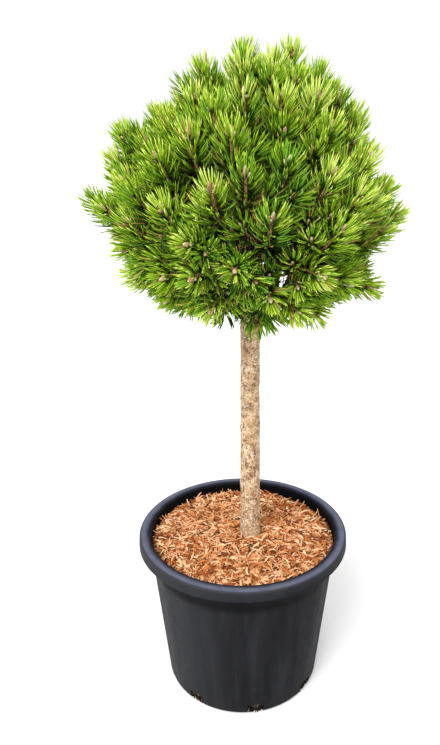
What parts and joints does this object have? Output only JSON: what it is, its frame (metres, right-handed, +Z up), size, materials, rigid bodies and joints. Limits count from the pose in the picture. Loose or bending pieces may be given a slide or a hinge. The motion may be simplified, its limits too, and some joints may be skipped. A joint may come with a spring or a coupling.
{
  "type": "potted mountain pine standard",
  "caption": "Mountain pine trained as a lollipop standard: a round crown of needled shoots on a clear stem, in a black nursery pot topped with wood chips.",
  "frame": {"origin": "centre of the pot's flat underside, on the surface it stands on", "axes": "+Z up along the trunk; -Y towards the front view; +X to the right of the front view"},
  "size_m": [0.569, 0.521, 1.1717],
  "materials": {
    "pot_plastic": "satin",
    "growing_medium": "matte",
    "wood_chips": "matte",
    "trunk_bark": "matte",
    "bough_bark": "matte",
    "needles": "satin"
  },
  "bodies": {
    "root": {"bough_crest_1": "bough_bark", "bough_crest_2": "bough_bark", "bough_lower_1": "bough_bark", "bough_lower_2": "bough_bark", "bough_lower_3": "bough_bark", "bough_lower_4": "bough_bark", "bough_lower_5": "bough_bark", "bough_lower_6": "bough_bark", "bough_lower_7": "bough_bark", "bough_lower_8": "bough_bark", "bough_middle_1": "bough_bark", "bough_middle_2": "bough_bark", "bough_middle_3": "bough_bark", "bough_middle_4": "bough_bark", "bough_middle_5": "bough_bark", "bough_middle_6": "bough_bark", "bough_middle_7": "bough_bark", "bough_middle_8": "bough_bark", "bough_middle_9": "bough_bark", "bough_upper_1": "bough_bark", "bough_upper_2": "bough_bark", "bough_upper_3": "bough_bark", "bough_upper_4": "bough_bark", "bough_upper_5": "bough_bark", "bough_upper_6": "bough_bark", "foliage_crest_1": "needles", "foliage_crest_2": "needles", "foliage_lower_1": "needles", "foliage_lower_2": "needles", "foliage_lower_3": "needles", "foliage_lower_4": "needles", "foliage_lower_5": "needles", "foliage_lower_6": "needles", "foliage_lower_7": "needles", "foliage_lower_8": "needles", "foliage_middle_1": "needles", "foliage_middle_2": "needles", "foliage_middle_3": "needles", "foliage_middle_4": "needles", "foliage_middle_5": "needles", "foliage_middle_6": "needles", "foliage_middle_7": "needles", "foliage_middle_8": "needles", "foliage_middle_9": "needles", "foliage_upper_1": "needles", "foliage_upper_2": "needles", "foliage_upper_3": "needles", "foliage_upper_4": "needles", "foliage_upper_5": "needles", "foliage_upper_6": "needles", "pot": "pot_plastic", "root_ball": "growing_medium", "trunk": "trunk_bark", "wood_chip_mulch": "wood_chips"}
  },
  "joints": []
}
